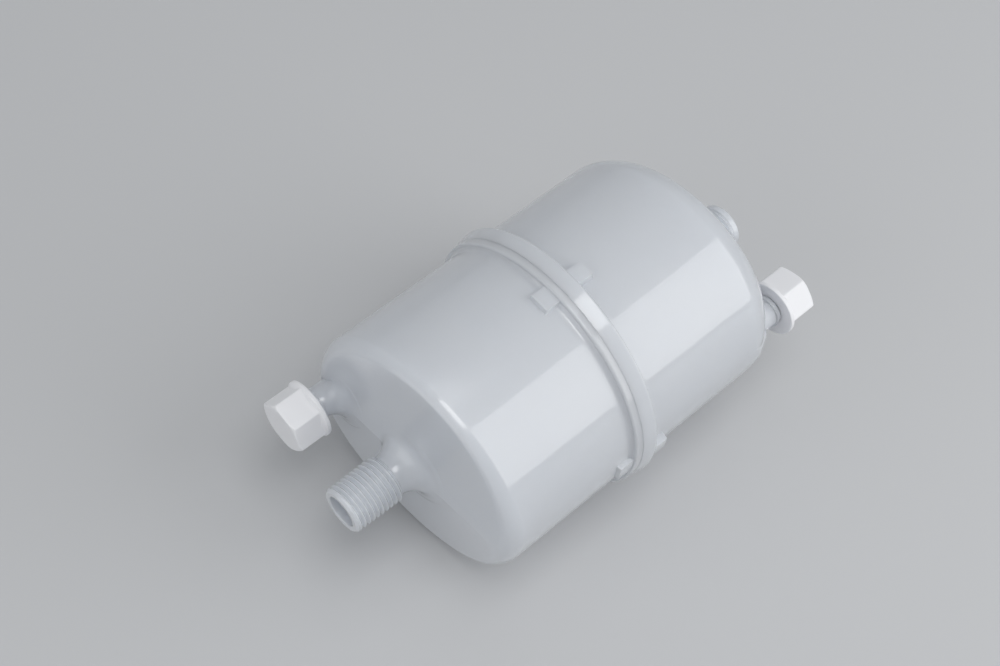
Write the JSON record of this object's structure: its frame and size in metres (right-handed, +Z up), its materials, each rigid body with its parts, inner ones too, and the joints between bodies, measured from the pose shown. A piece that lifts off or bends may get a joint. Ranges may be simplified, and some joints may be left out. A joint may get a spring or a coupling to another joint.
{
  "type": "capsule filter",
  "caption": "Disposable in-line capsule filter: welded translucent shells round a pleated cartridge, with a male threaded port and a capped vent at each end.",
  "frame": {"origin": "on the floor, under the middle of the part's overall length", "axes": "+X along the housing from the inlet to the outlet, +Z up, +Y towards the inlet vent"},
  "size_m": [0.138, 0.0778, 0.0778],
  "materials": {
    "housing": "milky translucent polypropylene, smooth moulded gloss",
    "vent_cap": "opaque white moulded plastic",
    "cartridge_frame": "natural moulded polypropylene",
    "media": "white pleated non-woven and membrane",
    "seal": "smooth rubber"
  },
  "bodies": {
    "housing": {"inlet_shell": "housing", "outlet_shell": "housing", "outer_cage": "cartridge_frame", "upstream_support": "media", "membrane": "media", "downstream_support": "media", "inner_core": "cartridge_frame", "blind_end_cap": "cartridge_frame", "open_end_cap": "cartridge_frame"},
    "inlet_seal": {"inlet_vent_seal": "seal"},
    "inlet_cap": {"inlet_vent_cap": "vent_cap"},
    "outlet_seal": {"outlet_vent_seal": "seal"},
    "outlet_cap": {"outlet_vent_cap": "vent_cap"}
  },
  "joints": [
    {"name": "inlet_vent_lift", "type": "slide", "parent": "housing", "child": "inlet_seal", "axis": [-1, 0, 0], "range_m": [0, 0.00525]},
    {"name": "inlet_vent_turn", "type": "hinge", "parent": "inlet_seal", "child": "inlet_cap", "pos_m": [-0.0611, 0.0275, 0.0389], "axis": [-1, 0, 0], "range_deg": [0, 1260]},
    {"name": "outlet_vent_lift", "type": "slide", "parent": "housing", "child": "outlet_seal", "axis": [1, 0, 0], "range_m": [0, 0.00525]},
    {"name": "outlet_vent_turn", "type": "hinge", "parent": "outlet_seal", "child": "outlet_cap", "pos_m": [0.0636, -0.0275, 0.0389], "axis": [1, 0, 0], "range_deg": [0, 1260]}
  ],
  "couplings": [
    {"joint": "inlet_vent_turn", "follows": "inlet_vent_lift", "rad_per_m": 4188.8},
    {"joint": "outlet_vent_turn", "follows": "outlet_vent_lift", "rad_per_m": 4188.8}
  ]
}
